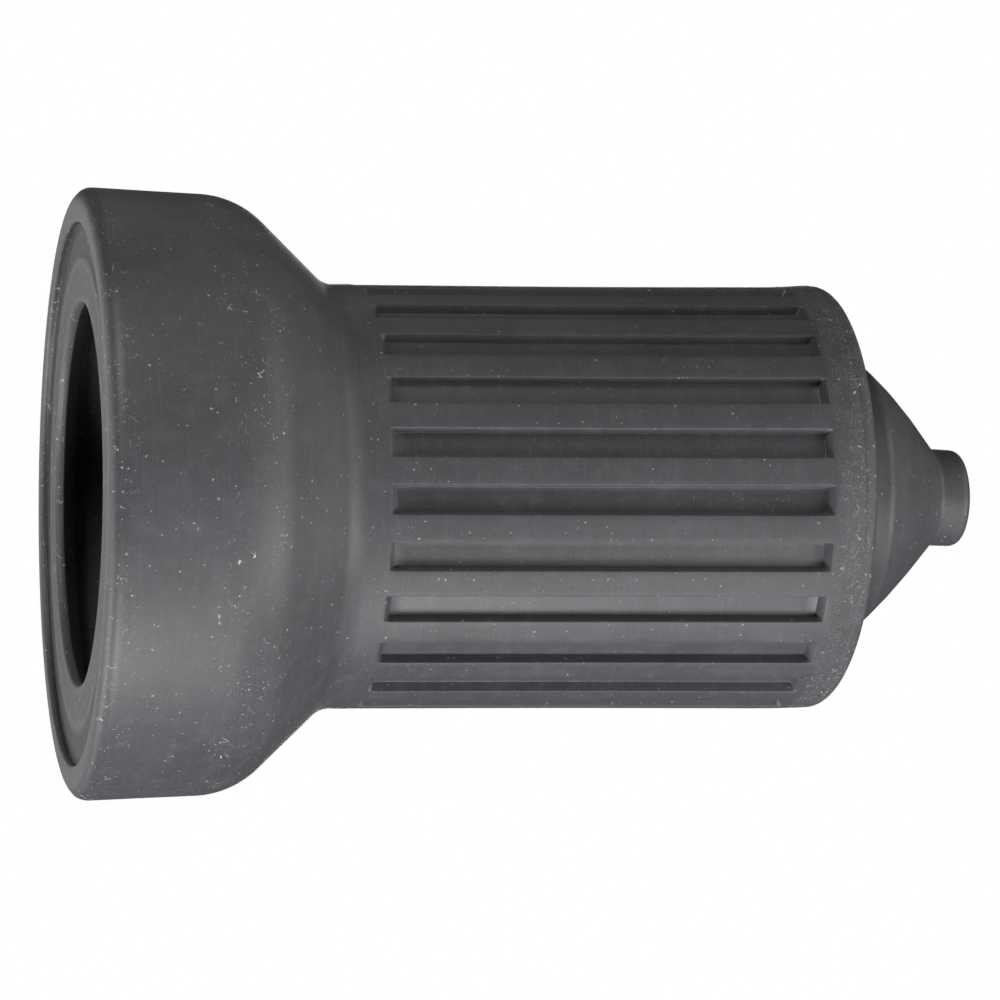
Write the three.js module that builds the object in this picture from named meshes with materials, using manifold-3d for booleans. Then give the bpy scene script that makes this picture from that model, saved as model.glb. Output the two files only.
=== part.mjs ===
// A moulded rubber boot that slips over a round electrical connector and its cable.
// Millimetres, +Z up. The boot stands on the rim of its mouth: the origin is the middle
// of the mouth, and the cable leaves through the spigot at the top.

import * as THREE from 'three';
import { mergeVertices } from 'three/addons/utils/BufferGeometryUtils.js';
import Module from 'manifold-3d';

// Driving dimensions: the outside, from the mouth up.
const mouthRadius = 48.6;
const shoulderRadius = 47.7;
const shoulderHeight = 24.8;
const barrelBaseRadius = 34.0;
const barrelBaseHeight = 39.3;
const barrelTopRadius = 34.7;
const barrelTopHeight = 123.0;
const coneBaseRadius = 21.6;
const coneBaseHeight = 129.4;
const spigotRadius = 7.95;
const spigotBaseHeight = 142.3;
const spigotTopHeight = 147.5;

// The outside roundings.
const rimRounding = 2.6;
const shoulderRounding = 14.0;
const neckRounding = 5.5;
const barrelTopRounding = 2.2;
const coneBaseRounding = 2.5;
const spigotTopRounding = 1.6;

// The mouth: a flat rim, a recessed seat inside it, and a lip around the hole that stands
// up from the seat. The lip is thin at the hole and thickens outwards, to the full flange.
const rimInnerRadius = 43.0;
const seatInnerRadius = 38.4;
const seatDepth = 1.2;
const lipOuterRadius = 37.2;
const lipDepth = 0.95;
const lipRounding = 0.8;
const lipBackHeight = 2.4;
const holeRadius = 30.3;
const flangeThickness = 5.0;
const flangeInnerRadius = 36.0;

// The inside.
const wall = 4.5;
const cableBoreRadius = 5.0;

// The grip: sunken pockets around the barrel.
const pocketCount = 24;
const pocketBottom = 45.0;
const pocketTop = 115.6;
const pocketDepth = 1.7;
const pocketWidth = 4.5;
const pocketSideDraft = 0.12;
const pocketEndSlope = 1.0;

// Flat sides around each turned surface.
const facets = pocketCount * 3;

// How far each slanted stretch leans from the axis.
const flareLean = Math.atan2(shoulderRadius - barrelBaseRadius, barrelBaseHeight - shoulderHeight);
const coneLean = Math.atan2(coneBaseRadius - spigotRadius, spigotBaseHeight - coneBaseHeight);

// A corner of the outline: its distance from the axis, its height, and the radius of the
// arc that rounds it, drawn in the given number of steps.
function corner(radius, height, rounding = 0, steps = 1) {
  return { point: new THREE.Vector2(radius, height), rounding, steps };
}

// The points of the arc that rounds a corner, tangent to the runs on both sides of it.
function roundedCorner(before, { point, rounding, steps }, after) {
  if (rounding === 0) return [point];
  const toBefore = before.point.clone().sub(point).normalize();
  const toAfter = after.point.clone().sub(point).normalize();
  const halfAngle = Math.acos(toBefore.dot(toAfter)) / 2;
  const middle = toBefore.clone().add(toAfter).normalize();
  const centre = point.clone().addScaledVector(middle, rounding / Math.sin(halfAngle));
  const start = point.clone().addScaledVector(toBefore, rounding / Math.tan(halfAngle));
  const turn = Math.sign(toBefore.cross(toAfter)) * (Math.PI - 2 * halfAngle);
  return Array.from({ length: steps + 1 }, (_, step) =>
    start.clone().rotateAround(centre, (-turn * step) / steps));
}

// The closed outline that the boot is turned from.
function bootOutline() {
  const flareInset = wall * Math.tan(flareLean / 2);
  const coneInset = wall * Math.tan(coneLean / 2);
  const cavityRadius = barrelBaseRadius - wall;
  const cavityTop = barrelTopHeight - wall;
  const coneCavityRadius = coneBaseRadius - wall;
  const coneCavityHeight = coneBaseHeight - coneInset;
  const boreBottom = coneCavityHeight + (coneCavityRadius - cableBoreRadius) / Math.tan(coneLean);
  const outside = [
    corner(rimInnerRadius, 0),
    corner(mouthRadius, 0, rimRounding, 3),
    corner(shoulderRadius, shoulderHeight, shoulderRounding, 4),
    corner(barrelBaseRadius, barrelBaseHeight, neckRounding, 3),
    corner(barrelTopRadius, barrelTopHeight, barrelTopRounding, 2),
    corner(coneBaseRadius, barrelTopHeight),
    corner(coneBaseRadius, coneBaseHeight, coneBaseRounding, 2),
    corner(spigotRadius, spigotBaseHeight),
    corner(spigotRadius, spigotTopHeight, spigotTopRounding, 2),
  ];
  const inside = [
    corner(cableBoreRadius, spigotTopHeight),
    corner(cableBoreRadius, boreBottom),
    corner(coneCavityRadius, coneCavityHeight),
    corner(coneCavityRadius, cavityTop),
    corner(cavityRadius, cavityTop),
    corner(cavityRadius, barrelBaseHeight - flareInset, neckRounding, 2),
    corner(shoulderRadius - wall, shoulderHeight - flareInset, shoulderRounding - wall, 2),
    corner(mouthRadius - wall, flangeThickness),
  ];
  const mouth = [
    corner(flangeInnerRadius, flangeThickness),
    corner(holeRadius, lipBackHeight),
    corner(holeRadius, lipDepth, lipRounding, 2),
    corner(lipOuterRadius, lipDepth),
    corner(seatInnerRadius, seatDepth),
    corner(rimInnerRadius, seatDepth),
  ];
  const corners = [...outside, ...inside, ...mouth];
  const points = corners.flatMap((here, index) =>
    roundedCorner(corners.at(index - 1), here, corners[(index + 1) % corners.length]));
  return [...points, points[0]];
}

// The boot's body of revolution, with its axis on Z.
function turnedBoot() {
  return new THREE.LatheGeometry(bootOutline(), facets).rotateX(Math.PI / 2);
}

function barrelRadiusAt(height) {
  const climbed = (height - barrelBaseHeight) / (barrelTopHeight - barrelBaseHeight);
  return THREE.MathUtils.lerp(barrelBaseRadius, barrelTopRadius, climbed);
}

// The block that cuts one pocket, on the +X side. It reaches as far above the barrel's
// surface as the floor lies below it, and its sides and ends lean in towards the floor.
function pocketCutter() {
  const block = new THREE.BoxGeometry(2, 2, 2);
  const place = block.getAttribute('position');
  const middleHeight = (pocketTop + pocketBottom) / 2;
  const halfLength = (pocketTop - pocketBottom) / 2;
  for (let index = 0; index < place.count; index += 1) {
    const level = place.getX(index);
    const height = middleHeight + place.getZ(index) * (halfLength + level * pocketEndSlope);
    const side = place.getY(index) * (pocketWidth / 2 + level * pocketSideDraft);
    place.setXYZ(index, barrelRadiusAt(height) + level * pocketDepth, side, height);
  }
  return block;
}

const wasm = await Module();
wasm.setup();

// Turns a closed three.js geometry into a manifold-3d solid.
function toSolid(geometry) {
  const bare = geometry.clone();
  bare.deleteAttribute('normal');
  bare.deleteAttribute('uv');
  const merged = mergeVertices(bare);
  const vertProperties = Float32Array.from(merged.getAttribute('position').array);
  const triVerts = Uint32Array.from(merged.getIndex().array);
  return new wasm.Manifold(new wasm.Mesh({ numProp: 3, vertProperties, triVerts }));
}

// Turns a manifold-3d solid back into a three.js geometry.
function toGeometry(solid) {
  const { vertProperties, triVerts } = solid.getMesh();
  const geometry = new THREE.BufferGeometry();
  geometry.setAttribute('position', new THREE.BufferAttribute(vertProperties, 3));
  geometry.setIndex(new THREE.BufferAttribute(triVerts, 1));
  geometry.computeVertexNormals();
  return geometry;
}

function cutPockets(blank) {
  let solid = toSolid(blank);
  for (let pocket = 0; pocket < pocketCount; pocket += 1) {
    const around = (pocket / pocketCount) * 2 * Math.PI;
    solid = solid.subtract(toSolid(pocketCutter().rotateZ(around)));
  }
  return toGeometry(solid);
}

const rubber = new THREE.MeshStandardMaterial({ color: 0x3c3c41, roughness: 0.75, metalness: 0 });

const boot = new THREE.Mesh(cutPockets(turnedBoot()), rubber);
boot.name = 'rubber_boot';

const part = new THREE.Group();
part.add(boot);

export default part;
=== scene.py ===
"""A moulded rubber boot that slips over a round electrical connector and its cable.

Metres, +Z up. The boot stands on the rim of its mouth: the origin is the middle of the mouth,
and the cable leaves through the spigot at the top. Lengths of the boot are written in
millimetres, as they are in the part's source, and MM turns them into metres.
"""

import math
from types import SimpleNamespace

import bpy
import numpy as np
from mathutils import Matrix, Vector


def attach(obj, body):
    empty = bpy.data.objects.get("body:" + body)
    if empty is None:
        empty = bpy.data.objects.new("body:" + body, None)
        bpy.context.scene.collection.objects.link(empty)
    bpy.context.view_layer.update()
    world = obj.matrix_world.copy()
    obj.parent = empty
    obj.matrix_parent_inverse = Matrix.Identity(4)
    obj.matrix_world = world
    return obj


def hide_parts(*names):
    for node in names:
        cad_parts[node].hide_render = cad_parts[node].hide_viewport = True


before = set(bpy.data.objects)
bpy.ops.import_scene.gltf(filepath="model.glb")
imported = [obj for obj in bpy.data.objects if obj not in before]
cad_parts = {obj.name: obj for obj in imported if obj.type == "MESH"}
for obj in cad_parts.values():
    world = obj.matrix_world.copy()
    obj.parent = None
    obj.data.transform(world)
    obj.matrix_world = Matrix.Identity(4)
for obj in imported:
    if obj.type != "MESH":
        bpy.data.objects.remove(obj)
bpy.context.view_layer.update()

MM = 0.001

# The outside, from the mouth up.
MOUTH_RADIUS = 48.6
SHOULDER_RADIUS, SHOULDER_HEIGHT = 47.7, 24.8
BARREL_BASE_RADIUS, BARREL_BASE_HEIGHT = 34.0, 39.3
BARREL_TOP_RADIUS, BARREL_TOP_HEIGHT = 34.7, 123.0
CONE_BASE_RADIUS, CONE_BASE_HEIGHT = 21.6, 129.4
SPIGOT_RADIUS, SPIGOT_BASE_HEIGHT, SPIGOT_TOP_HEIGHT = 7.95, 142.3, 147.5

# The outside's slight departures from straight: the mouth's wall steepens part of the way up,
# the barrel has a waist, and the cone is domed.
MOUTH_WALL_HEIGHT, MOUTH_WALL_INSET = 10.5, 0.4
BARREL_WAIST = 0.1
CONE_DOMING, CONE_DOMED_AT = 0.266, (0.3, 0.6)

# The outside's roundings.
RIM_ROUNDING = 2.6
SHOULDER_ROUNDING = 14.0
NECK_ROUNDING = 5.5
BARREL_TOP_ROUNDING = 2.1
CONE_FOOT_ROUNDING = 0.3
CONE_BASE_ROUNDING = 2.5
CONE_SIDE_ROUNDING = 20
SPIGOT_BASE_ROUNDING = 1.4
SPIGOT_TOP_ROUNDING = 1.6

# The mouth: a flat rim, a recessed seat inside it, and a lip around the hole that stands up
# from the seat. The lip is thin at the hole and thickens outwards, to the full flange.
RIM_INNER_RADIUS = 43.0
SEAT_INNER_RADIUS, SEAT_DEPTH = 38.4, 1.2
LIP_OUTER_RADIUS, LIP_DEPTH = 37.2, 0.95
LIP_BACK_HEIGHT = 2.4
HOLE_RADIUS = 30.3
FLANGE_THICKNESS, FLANGE_INNER_RADIUS = 5.0, 36.0
LIP_ROUNDING, LIP_BACK_ROUNDING, LIP_FOOT_ROUNDING = 0.8, 0.4, 3.0
SEAT_EDGE_ROUNDING = 1.5
FLANGE_EDGE_ROUNDING = 0.8

# The inside.
WALL = 4.5
CABLE_BORE_RADIUS = 5.0
BORE_TOP_ROUNDING = 0.4
INNER_EDGE_ROUNDING = 0.5
CAVITY_CORNER_ROUNDING = 1.0

# Radii beyond these are outside: of the barrel and flare, and of the cone and spigot.
BARREL_OUTSIDE = BARREL_BASE_RADIUS - 1
CONE_OUTSIDE = SPIGOT_RADIUS - 0.1

# The grip: sunken pockets around the barrel.
POCKET_COUNT = 24
POCKET_BOTTOM, POCKET_TOP = 45.0, 115.6
POCKET_DEPTH = 1.7
POCKET_HALF_WIDTH = 2.25
POCKET_SIDE_DRAFT = 0.12
POCKET_END_SLOPE = 1.0
POCKET_EDGE_ROUNDING, POCKET_FLOOR_ROUNDING = 0.2, 0.15
POCKET_END_MARGIN = 0.8
POCKET_FLOOR_ROWS, POCKET_FLOOR_ROW_MARGIN = 9, 2
POCKET_FLOOR_COLUMN, RIB_COLUMN = 1.2, 3.4

# The ridge where the two halves of the mould met, along +X and -X. Its height wavers along
# the boot by waves of these (size, rate, phase), and stays over a least share.
PARTING_HEIGHT, PARTING_WIDTH = 0.06, 0.13
PARTING_WAVES = ((0.5, 0.9, 0), (0.4, 2.3, 1))
PARTING_LEAST = 0.2

# The shallow crease around the end of the barrel, where the mould's end plate met its sides.
CREASE_HEIGHT, CREASE_WIDTH, CREASE_DEPTH = 120.6, 0.26, 0.08

# The boot in the photograph looks a little out of true, through its moulding or the lens: how
# far the middle strays towards +X along the height, and how much the cross-sections lean, as
# rise over run, at the mouth and at the top.
STRAY_HEIGHTS = (0, 25, 42, 80, 116, 123, 130, 138, 146)
STRAY = (-0.06, 0.05, 0.22, 0.24, 0.20, -0.10, -0.36, -0.30, 0.25)
STRAY_SMOOTHING = (-4, -2, 0, 2, 4)
LEAN_AT_MOUTH, LEAN_AT_TOP = 0.004, 0.0078


def unit(vector):
    return vector / np.linalg.norm(vector)


def rounded_corner(before, corner, after):
    """The points of the arc that rounds one corner, a (u, v, rounding, steps)."""
    here = np.array(corner[:2], float)
    rounding, steps = corner[2:]
    if rounding == 0:
        return [here]
    to_before = unit(np.array(before[:2]) - here)
    to_after = unit(np.array(after[:2]) - here)
    half_angle = math.acos(to_before @ to_after) / 2
    centre = here + unit(to_before + to_after) * rounding / math.sin(half_angle)
    start = here + to_before * rounding / math.tan(half_angle) - centre
    across = to_before[0] * to_after[1] - to_before[1] * to_after[0]
    turn = -math.copysign(math.pi - 2 * half_angle, across)
    points = []
    for step in range(steps + 1):
        cosine, sine = math.cos(turn * step / steps), math.sin(turn * step / steps)
        points.append(centre + np.array([start[0] * cosine - start[1] * sine,
                                         start[0] * sine + start[1] * cosine]))
    return points


def rounded_line(corners):
    """The points of an open line through the corners. Its two ends stay sharp."""
    points = [np.array(corners[0][:2], float)]
    for before, here, after in zip(corners, corners[1:], corners[2:]):
        points += rounded_corner(before, here, after)
    return np.array(points + [np.array(corners[-1][:2], float)])


def rounded_loop(corners):
    """The points of a closed line through the corners."""
    points = []
    for index, here in enumerate(corners):
        points += rounded_corner(corners[index - 1], here, corners[(index + 1) % len(corners)])
    return np.array(points)


def pocket_ends():
    """How deep a pocket's middle is along the barrel, as (height, level) points."""
    floor_bottom = POCKET_BOTTOM + POCKET_END_SLOPE
    floor_top = POCKET_TOP - POCKET_END_SLOPE
    spread = np.linspace(floor_bottom + POCKET_FLOOR_ROW_MARGIN,
                         floor_top - POCKET_FLOOR_ROW_MARGIN, POCKET_FLOOR_ROWS)
    return rounded_line([
        (POCKET_BOTTOM - POCKET_END_MARGIN, 0, 0, 1),
        (POCKET_BOTTOM, 0, POCKET_EDGE_ROUNDING, 3),
        (floor_bottom, -POCKET_DEPTH, POCKET_EDGE_ROUNDING, 2),
        *[(height, -POCKET_DEPTH, 0, 1) for height in spread],
        (floor_top, -POCKET_DEPTH, POCKET_EDGE_ROUNDING, 2),
        (POCKET_TOP, 0, POCKET_EDGE_ROUNDING, 3),
        (POCKET_TOP + POCKET_END_MARGIN, 0, 0, 1),
    ])


def pocket_side(half_pitch):
    """How deep a pocket is from its middle line to the middle of the rib, as (offset, level)."""
    return rounded_line([
        (0, -POCKET_DEPTH, 0, 1),
        (PARTING_WIDTH / 2, -POCKET_DEPTH, 0, 1),
        (PARTING_WIDTH, -POCKET_DEPTH, 0, 1),
        (POCKET_FLOOR_COLUMN, -POCKET_DEPTH, 0, 1),
        (POCKET_HALF_WIDTH - POCKET_SIDE_DRAFT, -POCKET_DEPTH, POCKET_FLOOR_ROUNDING, 2),
        (POCKET_HALF_WIDTH + POCKET_SIDE_DRAFT / 2, 0, POCKET_EDGE_ROUNDING, 3),
        (RIB_COLUMN, 0, 0, 1),
        (half_pitch, 0, 0, 1),
    ])


def barrel_radius_at(height):
    climbed = (height - BARREL_BASE_HEIGHT) / (BARREL_TOP_HEIGHT - BARREL_BASE_HEIGHT)
    straight = BARREL_BASE_RADIUS + climbed * (BARREL_TOP_RADIUS - BARREL_BASE_RADIUS)
    return straight - BARREL_WAIST * math.sin(math.pi * climbed) ** 2


def cone_corners():
    """The cone, very slightly domed."""
    corners = []
    for share in CONE_DOMED_AT:
        radius = CONE_BASE_RADIUS + share * (SPIGOT_RADIUS - CONE_BASE_RADIUS)
        height = CONE_BASE_HEIGHT + share * (SPIGOT_BASE_HEIGHT - CONE_BASE_HEIGHT)
        corners.append((radius + CONE_DOMING, height + CONE_DOMING, CONE_SIDE_ROUNDING, 3))
    return corners


def outside_corners(barrel_heights):
    """The outside, from the rim up to the spigot's top."""
    barrel_rows = [(barrel_radius_at(height), height, 0, 1) for height in barrel_heights]
    crease_rows = [(barrel_radius_at(CREASE_HEIGHT) - depth, CREASE_HEIGHT + offset, 0, 1)
                   for offset, depth in ((-CREASE_WIDTH / 2, 0), (0, CREASE_DEPTH),
                                         (CREASE_WIDTH / 2, 0))]
    return [
        (RIM_INNER_RADIUS, 0, INNER_EDGE_ROUNDING, 3),
        (MOUTH_RADIUS, 0, RIM_ROUNDING, 8),
        (MOUTH_RADIUS - MOUTH_WALL_INSET, MOUTH_WALL_HEIGHT, 0, 1),
        (SHOULDER_RADIUS, SHOULDER_HEIGHT, SHOULDER_ROUNDING, 14),
        (BARREL_BASE_RADIUS, BARREL_BASE_HEIGHT, NECK_ROUNDING, 7),
        *barrel_rows,
        *crease_rows,
        (BARREL_TOP_RADIUS, BARREL_TOP_HEIGHT, BARREL_TOP_ROUNDING, 7),
        (CONE_BASE_RADIUS + CONE_FOOT_ROUNDING, BARREL_TOP_HEIGHT, CONE_FOOT_ROUNDING, 2),
        (CONE_BASE_RADIUS, CONE_BASE_HEIGHT, CONE_BASE_ROUNDING, 6),
        *cone_corners(),
        (SPIGOT_RADIUS, SPIGOT_BASE_HEIGHT, SPIGOT_BASE_ROUNDING, 5),
        (SPIGOT_RADIUS, SPIGOT_TOP_HEIGHT, SPIGOT_TOP_ROUNDING, 6),
    ]


def inside_corners():
    """The inside, from the cable bore's top down to the flange: one wall behind the outside."""
    flare_lean = math.atan2(SHOULDER_RADIUS - BARREL_BASE_RADIUS,
                            BARREL_BASE_HEIGHT - SHOULDER_HEIGHT)
    cone_lean = math.atan2(CONE_BASE_RADIUS - SPIGOT_RADIUS,
                           SPIGOT_BASE_HEIGHT - CONE_BASE_HEIGHT)
    flare_inset = WALL * math.tan(flare_lean / 2)
    cone_radius = CONE_BASE_RADIUS - WALL
    cone_height = CONE_BASE_HEIGHT - WALL * math.tan(cone_lean / 2)
    bore_bottom = cone_height + (cone_radius - CABLE_BORE_RADIUS) / math.tan(cone_lean)
    barrel_radius = BARREL_BASE_RADIUS - WALL
    barrel_top = BARREL_TOP_HEIGHT - WALL
    return [
        (CABLE_BORE_RADIUS, SPIGOT_TOP_HEIGHT, BORE_TOP_ROUNDING, 3),
        (CABLE_BORE_RADIUS, bore_bottom, INNER_EDGE_ROUNDING, 2),
        (cone_radius, cone_height, INNER_EDGE_ROUNDING, 2),
        (cone_radius, barrel_top, INNER_EDGE_ROUNDING, 2),
        (barrel_radius, barrel_top, CAVITY_CORNER_ROUNDING, 2),
        (barrel_radius, BARREL_BASE_HEIGHT - flare_inset, NECK_ROUNDING, 4),
        (SHOULDER_RADIUS - WALL, SHOULDER_HEIGHT - flare_inset, SHOULDER_ROUNDING - WALL, 5),
        (MOUTH_RADIUS - WALL, FLANGE_THICKNESS, CAVITY_CORNER_ROUNDING, 3),
    ]


def mouth_corners():
    """The flange, the lip around the hole, and the seat between the lip and the rim."""
    return [
        (FLANGE_INNER_RADIUS, FLANGE_THICKNESS, FLANGE_EDGE_ROUNDING, 3),
        (HOLE_RADIUS, LIP_BACK_HEIGHT, LIP_BACK_ROUNDING, 3),
        (HOLE_RADIUS, LIP_DEPTH, LIP_ROUNDING, 6),
        (LIP_OUTER_RADIUS, LIP_DEPTH, LIP_FOOT_ROUNDING, 4),
        (SEAT_INNER_RADIUS, SEAT_DEPTH, SEAT_EDGE_ROUNDING, 3),
        (RIM_INNER_RADIUS, SEAT_DEPTH, INNER_EDGE_ROUNDING, 4),
    ]


def around_pockets(side, half_pitch):
    """Each column's angle, and how far it is down a pocket's side, from 0 to 1."""
    offsets = np.concatenate([side[:, 0], -side[1:-1, 0]])
    levels = np.concatenate([side[:, 1], side[1:-1, 1]])
    order = np.argsort(offsets)
    turns = offsets[order] / half_pitch / 2
    pockets = np.arange(POCKET_COUNT)[:, None]
    angles = (pockets + turns[None, :]) * 2 * math.pi / POCKET_COUNT
    sunk = np.tile(-levels[order] / POCKET_DEPTH, POCKET_COUNT)
    return angles.ravel(), sunk


def grid_faces(rows, columns):
    """The four-sided faces of a grid that closes on itself both ways."""
    row, column = np.meshgrid(np.arange(rows), np.arange(columns), indexing="ij")
    next_row, next_column = (row + 1) % rows, (column + 1) % columns
    corners = [row * columns + column, row * columns + next_column,
               next_row * columns + next_column, next_row * columns + column]
    return np.stack(corners, axis=-1).reshape(-1, 4)


def add_attribute(mesh, name, values):
    attribute = mesh.attributes.new(name, "FLOAT", "POINT")
    attribute.data.foreach_set("value", np.asarray(values, np.float32).ravel())


def parting_ridge(angles, radius, height):
    """How far the mould line stands out, which is only on the outside above the rim."""
    across = np.abs(np.sin(angles)) * radius / PARTING_WIDTH
    along = 1 + sum(size * np.sin(height * rate + phase) for size, rate, phase in PARTING_WAVES)
    on_cone = height > BARREL_TOP_HEIGHT - WALL
    outside = radius > np.where(on_cone, CONE_OUTSIDE, BARREL_OUTSIDE)
    ridge = PARTING_HEIGHT * np.maximum(along, PARTING_LEAST) * np.maximum(1 - across, 0)
    return np.where(outside & (height > 0.2), ridge, 0)


def out_of_true(points):
    """The points, with the stray and the lean."""
    x, y, z = points.T
    nearby = [np.interp(z + step, STRAY_HEIGHTS, STRAY) for step in STRAY_SMOOTHING]
    stray = sum(nearby) / len(nearby)
    lean = np.interp(z, (0, SPIGOT_TOP_HEIGHT), (LEAN_AT_MOUTH, LEAN_AT_TOP))
    return np.stack([x + stray, y, z - lean * x], axis=-1)


def build_boot():
    half_pitch = math.pi * (BARREL_BASE_RADIUS + BARREL_TOP_RADIUS) / 2 / POCKET_COUNT
    ends = pocket_ends()
    outline = rounded_loop([*outside_corners(ends[:, 0]), *inside_corners(), *mouth_corners()])
    angles, sunk_across = around_pockets(pocket_side(half_pitch), half_pitch)
    radius, height = outline[:, :1], outline[:, 1:]
    sunk_along = np.interp(height, ends[:, 0], -ends[:, 1] / POCKET_DEPTH)
    sunk = np.where(radius > BARREL_OUTSIDE, sunk_along, 0) * sunk_across
    radii = radius - POCKET_DEPTH * sunk + parting_ridge(angles, radius, height)
    points = np.stack([radii * np.cos(angles), radii * np.sin(angles),
                       np.broadcast_to(height, radii.shape)], axis=-1)
    mesh = bpy.data.meshes.new("boot_skin")
    mesh.from_pydata((out_of_true(points.reshape(-1, 3)) * MM).tolist(), [],
                     grid_faces(*radii.shape).tolist())
    mesh.polygons.foreach_set("use_smooth", np.ones(len(mesh.polygons), bool))
    add_attribute(mesh, "sunk", sunk)
    skin = bpy.data.objects.new("boot_skin", mesh)
    bpy.context.scene.collection.objects.link(skin)
    return skin


def add_node(tree, kind, inputs=None, **settings):
    """A node with its settings and inputs. An input is a value, or the socket that feeds it."""
    node = tree.nodes.new(kind)
    for name, value in settings.items():
        setattr(node, name, value)
    for name, value in (inputs or {}).items():
        if isinstance(value, bpy.types.NodeSocket):
            tree.links.new(value, node.inputs[name])
        else:
            node.inputs[name].default_value = value
    return node


def new_material(name):
    material = bpy.data.materials.new(name)
    material.use_nodes = True
    material.node_tree.nodes.clear()
    return material, material.node_tree


def maths(tree, operation, *inputs, clamp=False):
    node = add_node(tree, "ShaderNodeMath", dict(enumerate(inputs)),
                    operation=operation, use_clamp=clamp)
    return node.outputs[0]


def vector_maths(tree, operation, *inputs, **named_inputs):
    node = add_node(tree, "ShaderNodeVectorMath", {**dict(enumerate(inputs)), **named_inputs},
                    operation=operation)
    return node.outputs["Value" if operation == "LENGTH" else "Vector"]


def times(tree, first, second):
    return maths(tree, "MULTIPLY", first, second)


def strongest(tree, *masks):
    """The largest of the masks at each point."""
    result = masks[0]
    for mask in masks[1:]:
        result = maths(tree, "MAXIMUM", result, mask)
    return result


def weighted_sum(tree, start, parts):
    """The start plus each part's value times its weight."""
    total = start
    for value, weight in parts:
        total = maths(tree, "MULTIPLY_ADD", value, weight, total)
    return total


def remap(tree, value, low, high, to_low=0.0, to_high=1.0):
    """The value carried from one range to another, smoothly and held at its ends."""
    node = add_node(tree, "ShaderNodeMapRange", {
        "Value": value, "From Min": low, "From Max": high, "To Min": to_low, "To Max": to_high,
    }, interpolation_type="SMOOTHSTEP")
    return node.outputs["Result"]


def band(tree, value, low, high, soft):
    """One between low and high, falling to nothing over a soft edge."""
    return times(tree, remap(tree, value, low - soft, low),
                 remap(tree, value, high, high + soft, 1.0, 0.0))


def noise(tree, place, scale, detail=2.0, roughness=0.5, distortion=0.0):
    node = add_node(tree, "ShaderNodeTexNoise", {
        "Vector": place, "Scale": scale, "Detail": detail,
        "Roughness": roughness, "Distortion": distortion,
    })
    return node.outputs["Fac"]


def noise_colour(tree, place, scale):
    return add_node(tree, "ShaderNodeTexNoise", {
        "Vector": place, "Scale": scale, "Detail": 0.0,
    }).outputs["Color"]


def blend_colour(tree, share, first, second):
    node = add_node(tree, "ShaderNodeMix", data_type="RGBA")
    for socket, value in ((node.inputs[0], share), (node.inputs[6], first),
                          (node.inputs[7], second)):
        if isinstance(value, bpy.types.NodeSocket):
            tree.links.new(value, socket)
        else:
            socket.default_value = value
    return node.outputs[2]


# How far a speck's outline wanders, as a share of its size, and how small and how faint the
# least speck is, as shares of the greatest.
SPECK_WANDER, SMALLEST_SPECK, FAINTEST_SPECK = 1.2, 0.3, 0.15


def specks(tree, place, spacing, size, share):
    """Uneven specks, one at most in each cell, in the given share of the cells.

    Each cell's random colour settles its speck: red whether it is there, green how large it
    is, and blue how strong, squared so that most are faint and a few are bright.
    """
    warp = vector_maths(tree, "SCALE", noise_colour(tree, place, 1 / size),
                        Scale=size * SPECK_WANDER)
    cells = add_node(tree, "ShaderNodeTexVoronoi", {
        "Vector": vector_maths(tree, "ADD", place, warp), "Scale": 1 / spacing})
    chance = add_node(tree, "ShaderNodeSeparateColor", {"Color": cells.outputs["Color"]})
    chosen = maths(tree, "LESS_THAN", chance.outputs["Red"], share)
    largest = size / spacing
    radius = maths(tree, "MULTIPLY_ADD", chance.outputs["Green"],
                   largest * (1 - SMALLEST_SPECK), largest * SMALLEST_SPECK)
    distance = maths(tree, "DIVIDE", cells.outputs["Distance"], radius)
    strength = maths(tree, "MULTIPLY_ADD", maths(tree, "POWER", chance.outputs["Blue"], 2.0),
                     1 - FAINTEST_SPECK, FAINTEST_SPECK)
    return times(tree, times(tree, chosen, strength), remap(tree, distance, 0.5, 1.0, 1.0, 0.0))


def fibres(tree, place, scale, thickness, patches, share):
    """Thin curved hairs: the level lines of a smooth noise, kept only in small patches."""
    level = noise(tree, place, scale, detail=1.0, distortion=0.6)
    near = maths(tree, "ABSOLUTE", maths(tree, "SUBTRACT", level, 0.5))
    line = remap(tree, near, thickness * 0.5, thickness, 1.0, 0.0)
    kept = remap(tree, noise(tree, place, patches, detail=0.0), 1 - share, 1.03 - share)
    return times(tree, line, kept)


# The colours of the rubber and of what lies on it, and of the painted shade and painted
# highlight in the mouth.
DARK_RUBBER = (0.044, 0.044, 0.049, 1)
LIGHT_RUBBER = (0.056, 0.056, 0.062, 1)
# Painted shade: the dark colour laid into the recessed seat between the lip and the rim.
PAINTED_SHADE_RUBBER = (0.016, 0.016, 0.018, 1)
# The rubber's grey bloom, also used for the painted highlight on the rim face and lip edges.
BLOOM_AND_HIGHLIGHT = (0.15, 0.15, 0.16, 1)
SCUFF = (0.14, 0.14, 0.15, 1)
PEPPER = (0.15, 0.15, 0.155, 1)
DUST = (0.70, 0.69, 0.65, 1)

# The rubber's roughness where nothing changes it.
ROUGHNESS = 0.42

# How the marks of the mould's cutting tool are drawn out, around the boot and not along it.
TOOL_STROKES = (0.15, 0.15, 4.0)


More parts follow.
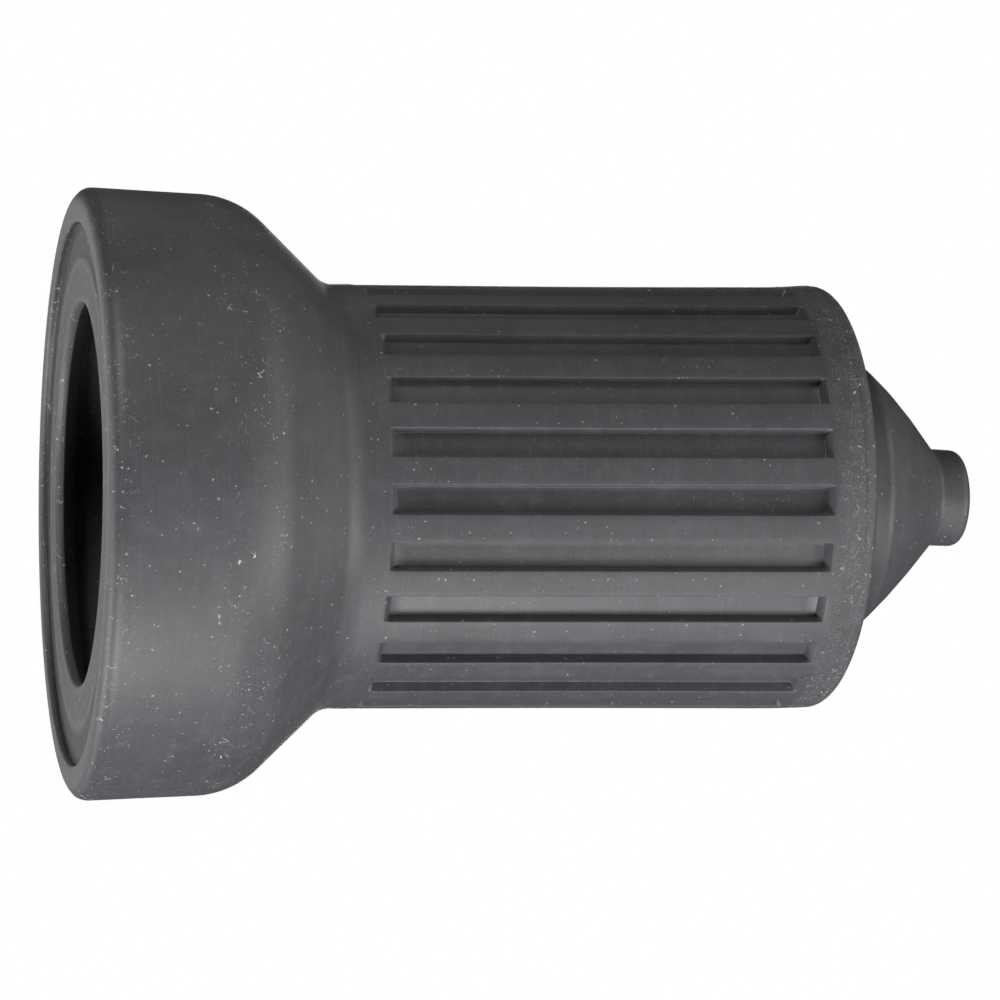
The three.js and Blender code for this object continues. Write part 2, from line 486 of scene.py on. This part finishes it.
def find_zones(tree, place):
    """Masks from 0 to 1 of where the seat gets painted shade, where the rim face and lip edges
    get a painted highlight, and where the boot is peppered, dusty and linty.

    The collar is the plain band between the pockets and the barrel's top.
    """
    height = add_node(tree, "ShaderNodeSeparateXYZ", {"Vector": place}).outputs["Z"]
    radius = vector_maths(tree, "LENGTH", vector_maths(tree, "MULTIPLY", place, (1, 1, 0)))
    recessed = band(tree, height, 0.6, LIP_BACK_HEIGHT, soft=0.2)
    # Painted shade: the seat between the lip and the rim, darkened for the shadow of its walls.
    painted_seat_shade = times(tree, recessed,
                      band(tree, radius, SEAT_INNER_RADIUS, RIM_INNER_RADIUS, soft=0.4))
    # The hole's edge, the lip's edge and the rim's face are lightened below as a painted
    # highlight.
    hole_edge = band(tree, radius, HOLE_RADIUS, HOLE_RADIUS + 0.9, soft=0.7)
    lip_edge = band(tree, radius, LIP_OUTER_RADIUS - 0.9, LIP_OUTER_RADIUS, soft=0.5)
    rim_face = remap(tree, height, 0.3, 1.0, 1.0, 0.0)
    collar = band(tree, height, POCKET_TOP + 1.0, BARREL_TOP_HEIGHT - 0.6, soft=0.6)
    collar_end = band(tree, height, BARREL_TOP_HEIGHT - 3.6, BARREL_TOP_HEIGHT - 1.0, soft=0.9)
    shoulder = band(tree, height, SHOULDER_HEIGHT - 6, SHOULDER_HEIGHT + 1, soft=4.0)
    rim = remap(tree, height, 1.5, 6.0, 1.0, 0.0)
    drifts = remap(tree, noise(tree, place, scale=0.11, detail=3.0), 0.42, 0.62)
    gathering = strongest(
        tree,
        times(tree, shoulder, maths(tree, "MULTIPLY_ADD", drifts, 0.75, 0.1)),
        times(tree, rim, maths(tree, "MULTIPLY_ADD", drifts, 0.5, 0.5)),
        collar_end,
    )
    return SimpleNamespace(
        painted_seat_shade=painted_seat_shade,
        # Painted highlight on the rim's face and on the edges of the lip and the hole.
        painted_highlight=strongest(tree, rim_face,
                       times(tree, recessed, strongest(tree, hole_edge, lip_edge))),
        peppered=collar,
        dusty=strongest(tree, gathering, times(tree, collar, 0.5)),
        linty=strongest(tree, gathering, times(tree, collar, 0.25)),
    )


def rubber_textures(tree, place, zones):
    """The rubber's own unevenness, from large clouds to fine grain, each from 0 to 1."""
    mottle = noise(tree, place, scale=0.35, detail=5.0, roughness=0.65)
    dots = remap(tree, noise(tree, place, scale=4.2, detail=1.0), 0.52, 0.6)
    patches = times(tree, zones.peppered, remap(tree, mottle, 0.4, 0.55))
    drawn_out = vector_maths(tree, "MULTIPLY", place, TOOL_STROKES)
    return SimpleNamespace(
        clouds=noise(tree, place, scale=0.05, detail=4.0, roughness=0.6),
        mottle=mottle,
        grain=noise(tree, place, scale=3.4, detail=2.0, roughness=0.6),
        pepper=times(tree, dots, patches),
        tool_marks=noise(tree, drawn_out, scale=0.6, detail=3.0),
    )


def dust_cover(tree, place, zones, sunk):
    """How far dust and lint hide the rubber, from 0 to 1. Less of it lies in the pockets."""
    fine = specks(tree, place, spacing=0.45, size=0.18, share=0.32)
    loose = specks(tree, place, spacing=0.9, size=0.25, share=0.34)
    flecks = specks(tree, place, spacing=1.2, size=0.26, share=0.34)
    hairs = fibres(tree, place, scale=0.5, thickness=0.008, patches=0.55, share=0.36)
    open_to_dust = maths(tree, "MULTIPLY_ADD", sunk, -0.5, 1.0)
    return strongest(
        tree,
        times(tree, times(tree, fine, zones.dusty), 0.5),
        times(tree, times(tree, loose, open_to_dust), 0.4),
        times(tree, flecks, zones.linty),
        times(tree, hairs, zones.linty),
    )


def rubber_colour(tree, textures, zones, dust):
    """Charcoal, with each layer laid over the ones before it: (where, strength, colour)."""
    colour = blend_colour(tree, remap(tree, textures.clouds, 0.3, 0.7),
                          DARK_RUBBER, LIGHT_RUBBER)
    layers = (
        (remap(tree, textures.mottle, 0.45, 0.75), 0.12, BLOOM_AND_HIGHLIGHT),
        (remap(tree, textures.grain, 0.4, 0.75), 0.16, SCUFF),
        (remap(tree, textures.tool_marks, 0.5, 0.8), 0.14, SCUFF),
        (textures.pepper, 0.6, PEPPER),
        # Painted highlight: the rim face and lip edges lightened with the bloom colour.
        (zones.painted_highlight, 0.3, BLOOM_AND_HIGHLIGHT),
        # Painted shade: the seat darkened.
        (zones.painted_seat_shade, 0.6, PAINTED_SHADE_RUBBER),
        (dust, 1.0, DUST),
    )
    for where, strength, paint in layers:
        colour = blend_colour(tree, times(tree, where, strength), colour, paint)
    return colour


def rubber_material():
    """Matte charcoal rubber: fine grain, faint mould marks, cloudy bloom, dust and lint, with
    painted shade in the seat and a painted highlight on the rim face and lip edges.
    """
    material, tree = new_material("charcoal_rubber")
    position = add_node(tree, "ShaderNodeTexCoord").outputs["Object"]
    place = vector_maths(tree, "SCALE", position, Scale=1 / MM)
    sunk = add_node(tree, "ShaderNodeAttribute", attribute_name="sunk").outputs["Fac"]
    zones = find_zones(tree, place)
    textures = rubber_textures(tree, place, zones)
    dust = dust_cover(tree, place, zones, sunk)
    roughness = weighted_sum(tree, ROUGHNESS, (
        (textures.mottle, 0.16),
        (sunk, -0.12),
        (zones.peppered, 0.1),
    ))
    relief = weighted_sum(tree, 0.0, (
        (textures.grain, 0.016),
        (textures.tool_marks, 0.012),
        (textures.pepper, 0.06),
        (dust, 0.05),
        (textures.mottle, 0.03),
    ))
    bump = add_node(tree, "ShaderNodeBump", {"Height": relief, "Distance": MM, "Strength": 1.0})
    shader = add_node(tree, "ShaderNodeBsdfPrincipled", {
        "Base Color": rubber_colour(tree, textures, zones, dust),
        "Roughness": roughness,
        "Normal": bump.outputs["Normal"],
    })
    add_node(tree, "ShaderNodeOutputMaterial", {"Surface": shader.outputs["BSDF"]})
    return material


WHITE = (1, 1, 1, 1)

# The floor, in metres. It glows a little of its own, and its clearance is how far it lies
# under the middle of the rim, as a share of how far the rim's lowest point does.
FLOOR_HALF_WIDTH = 3.0
FLOOR_COLOUR = (0.8, 0.8, 0.8, 1)
FLOOR_GLOW = 0.35
FLOOR_CLEARANCE = 1.3


def floor_material():
    """A pale floor that only shows from above, because the camera looks up from under it."""
    material, tree = new_material("pale_floor")
    looked_at = add_node(tree, "ShaderNodeLightPath").outputs["Is Camera Ray"]
    from_below = add_node(tree, "ShaderNodeNewGeometry").outputs["Backfacing"]
    from_above = maths(tree, "SUBTRACT", looked_at, from_below, clamp=True)
    paint = add_node(tree, "ShaderNodeBsdfDiffuse", {"Color": FLOOR_COLOUR})
    glow = add_node(tree, "ShaderNodeEmission", {"Color": WHITE, "Strength": FLOOR_GLOW})
    solid = add_node(tree, "ShaderNodeAddShader", {
        0: paint.outputs["BSDF"],
        1: glow.outputs["Emission"],
    })
    clear = add_node(tree, "ShaderNodeBsdfTransparent")
    mix = add_node(tree, "ShaderNodeMixShader", {
        0: from_above,
        1: clear.outputs["BSDF"],
        2: solid.outputs["Shader"],
    })
    add_node(tree, "ShaderNodeOutputMaterial", {"Surface": mix.outputs["Shader"]})
    return material


def add_floor():
    """A wide flat floor, just under the lowest point of the leaning rim."""
    mesh = bpy.data.meshes.new("floor")
    corners = [(x * FLOOR_HALF_WIDTH, y * FLOOR_HALF_WIDTH, 0)
               for x, y in ((-1, -1), (1, -1), (1, 1), (-1, 1))]
    mesh.from_pydata(corners, [], [(0, 1, 2, 3)])
    floor = bpy.data.objects.new("floor", mesh)
    floor.location.z = -LEAN_AT_MOUTH * MOUTH_RADIUS * FLOOR_CLEARANCE * MM
    bpy.context.scene.collection.objects.link(floor)
    mesh.materials.append(floor_material())
    return floor


# The even light that everything but the camera gets from the world.
AMBIENT = 0.01


def set_world():
    """A white backdrop for the camera, and a weaker even light for everything else."""
    world = bpy.data.worlds.new("studio")
    world.use_nodes = True
    tree = world.node_tree
    tree.nodes.clear()
    path = add_node(tree, "ShaderNodeLightPath")
    strength = add_node(tree, "ShaderNodeMapRange", {
        "Value": path.outputs["Is Camera Ray"],
        "To Min": AMBIENT,
        "To Max": 1.0,
    })
    background = add_node(tree, "ShaderNodeBackground", {
        "Color": WHITE,
        "Strength": strength.outputs["Result"],
    })
    add_node(tree, "ShaderNodeOutputWorld", {"Surface": background.outputs["Background"]})
    bpy.context.scene.world = world


def facing(location, target, up):
    """The matrix of a camera or light at location that looks at target."""
    back = (location - target).normalized()
    right = up.cross(back).normalized()
    turned = Matrix((right, back.cross(right), back)).transposed()
    return Matrix.Translation(location) @ turned.to_4x4()


# The lights: name, angle round +Z from -Y towards +X and angle above level, in degrees,
# distance, and power in watts. behind_high is given directly. The others started as a
# least-squares fit to the photograph's shading, and were rounded and adjusted.
SOFTBOXES = (
    ("right_level", 60, 0, 1.2, 7.8),
    ("right_low", 60, -30, 1.2, 12.3),
    ("right_top", 90, 45, 1.2, 1.0),
    ("right_behind_low", 120, -60, 1.2, 5.9),
    ("front_high", 30, 30, 1.2, 3.8),
    ("front_top", 30, 60, 1.2, 6.8),
    ("front_left", -30, 30, 1.2, 1.2),
    ("left_level", -60, 0, 1.2, 1.3),
    ("left_top", -60, 60, 1.2, 3.0),
    ("left_near", -50, -35, 0.4, 0.62),
    ("left_behind", -120, 0, 1.2, 0.4),
    ("behind_high", 180, 12, 1.2, 6.5),
    ("behind_level", 180, -10, 1.2, 0.8),
    ("behind_low", 180, -50, 1.2, 1.2),
)

# A softbox's side as a share of its distance, and what the lights face.
SOFTBOX_SPREAD = 0.42
MIDDLE = Vector((0, 0, SPIGOT_TOP_HEIGHT * MM / 2))


def add_softbox(name, around, above, distance, power):
    """A square light that faces the middle of the boot and stays out of the picture."""
    turn, rise = math.radians(around), math.radians(above)
    direction = Vector((math.sin(turn) * math.cos(rise), -math.cos(turn) * math.cos(rise),
                        math.sin(rise)))
    light = bpy.data.lights.new(name, "AREA")
    light.shape = "SQUARE"
    light.size = distance * SOFTBOX_SPREAD
    light.energy = power
    softbox = bpy.data.objects.new(name, light)
    softbox.matrix_world = facing(MIDDLE + direction * distance, MIDDLE, Vector((0, 0.01, 1)))
    softbox.visible_camera = False
    bpy.context.scene.collection.objects.link(softbox)


# The camera, before it is turned round from the middle of the nearest pocket, in degrees.
# Its place, turn and lens, like the boot's outer sizes, are a fit to the photograph, rounded.
CAMERA_PLACE = Vector((0, -0.6582, -0.0802))
CAMERA_TARGET = Vector((0.0007, 0, 0.0696))
CAMERA_UP = Vector((-1, 0, -0.0034))
CAMERA_TURN = -0.68
CAMERA_LENS, CAMERA_SENSOR = 149.9, 36.0


def add_camera():
    """The photographer's view: from the side and a little below, with the boot lying down."""
    camera = bpy.data.cameras.new("camera")
    camera.lens = CAMERA_LENS
    camera.sensor_width = CAMERA_SENSOR
    camera.clip_start, camera.clip_end = 0.01, 20
    viewer = bpy.data.objects.new("camera", camera)
    viewer.matrix_world = (Matrix.Rotation(math.radians(CAMERA_TURN), 4, "Z")
                           @ facing(CAMERA_PLACE, CAMERA_TARGET, CAMERA_UP))
    bpy.context.scene.collection.objects.link(viewer)
    bpy.context.scene.camera = viewer


bpy.context.scene.view_settings.view_transform = "Standard"
add_camera()
set_world()
for softbox in SOFTBOXES:
    add_softbox(*softbox)
add_floor()

boot = build_boot()
boot.data.materials.append(rubber_material())
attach(boot, "root")
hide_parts("rubber_boot")
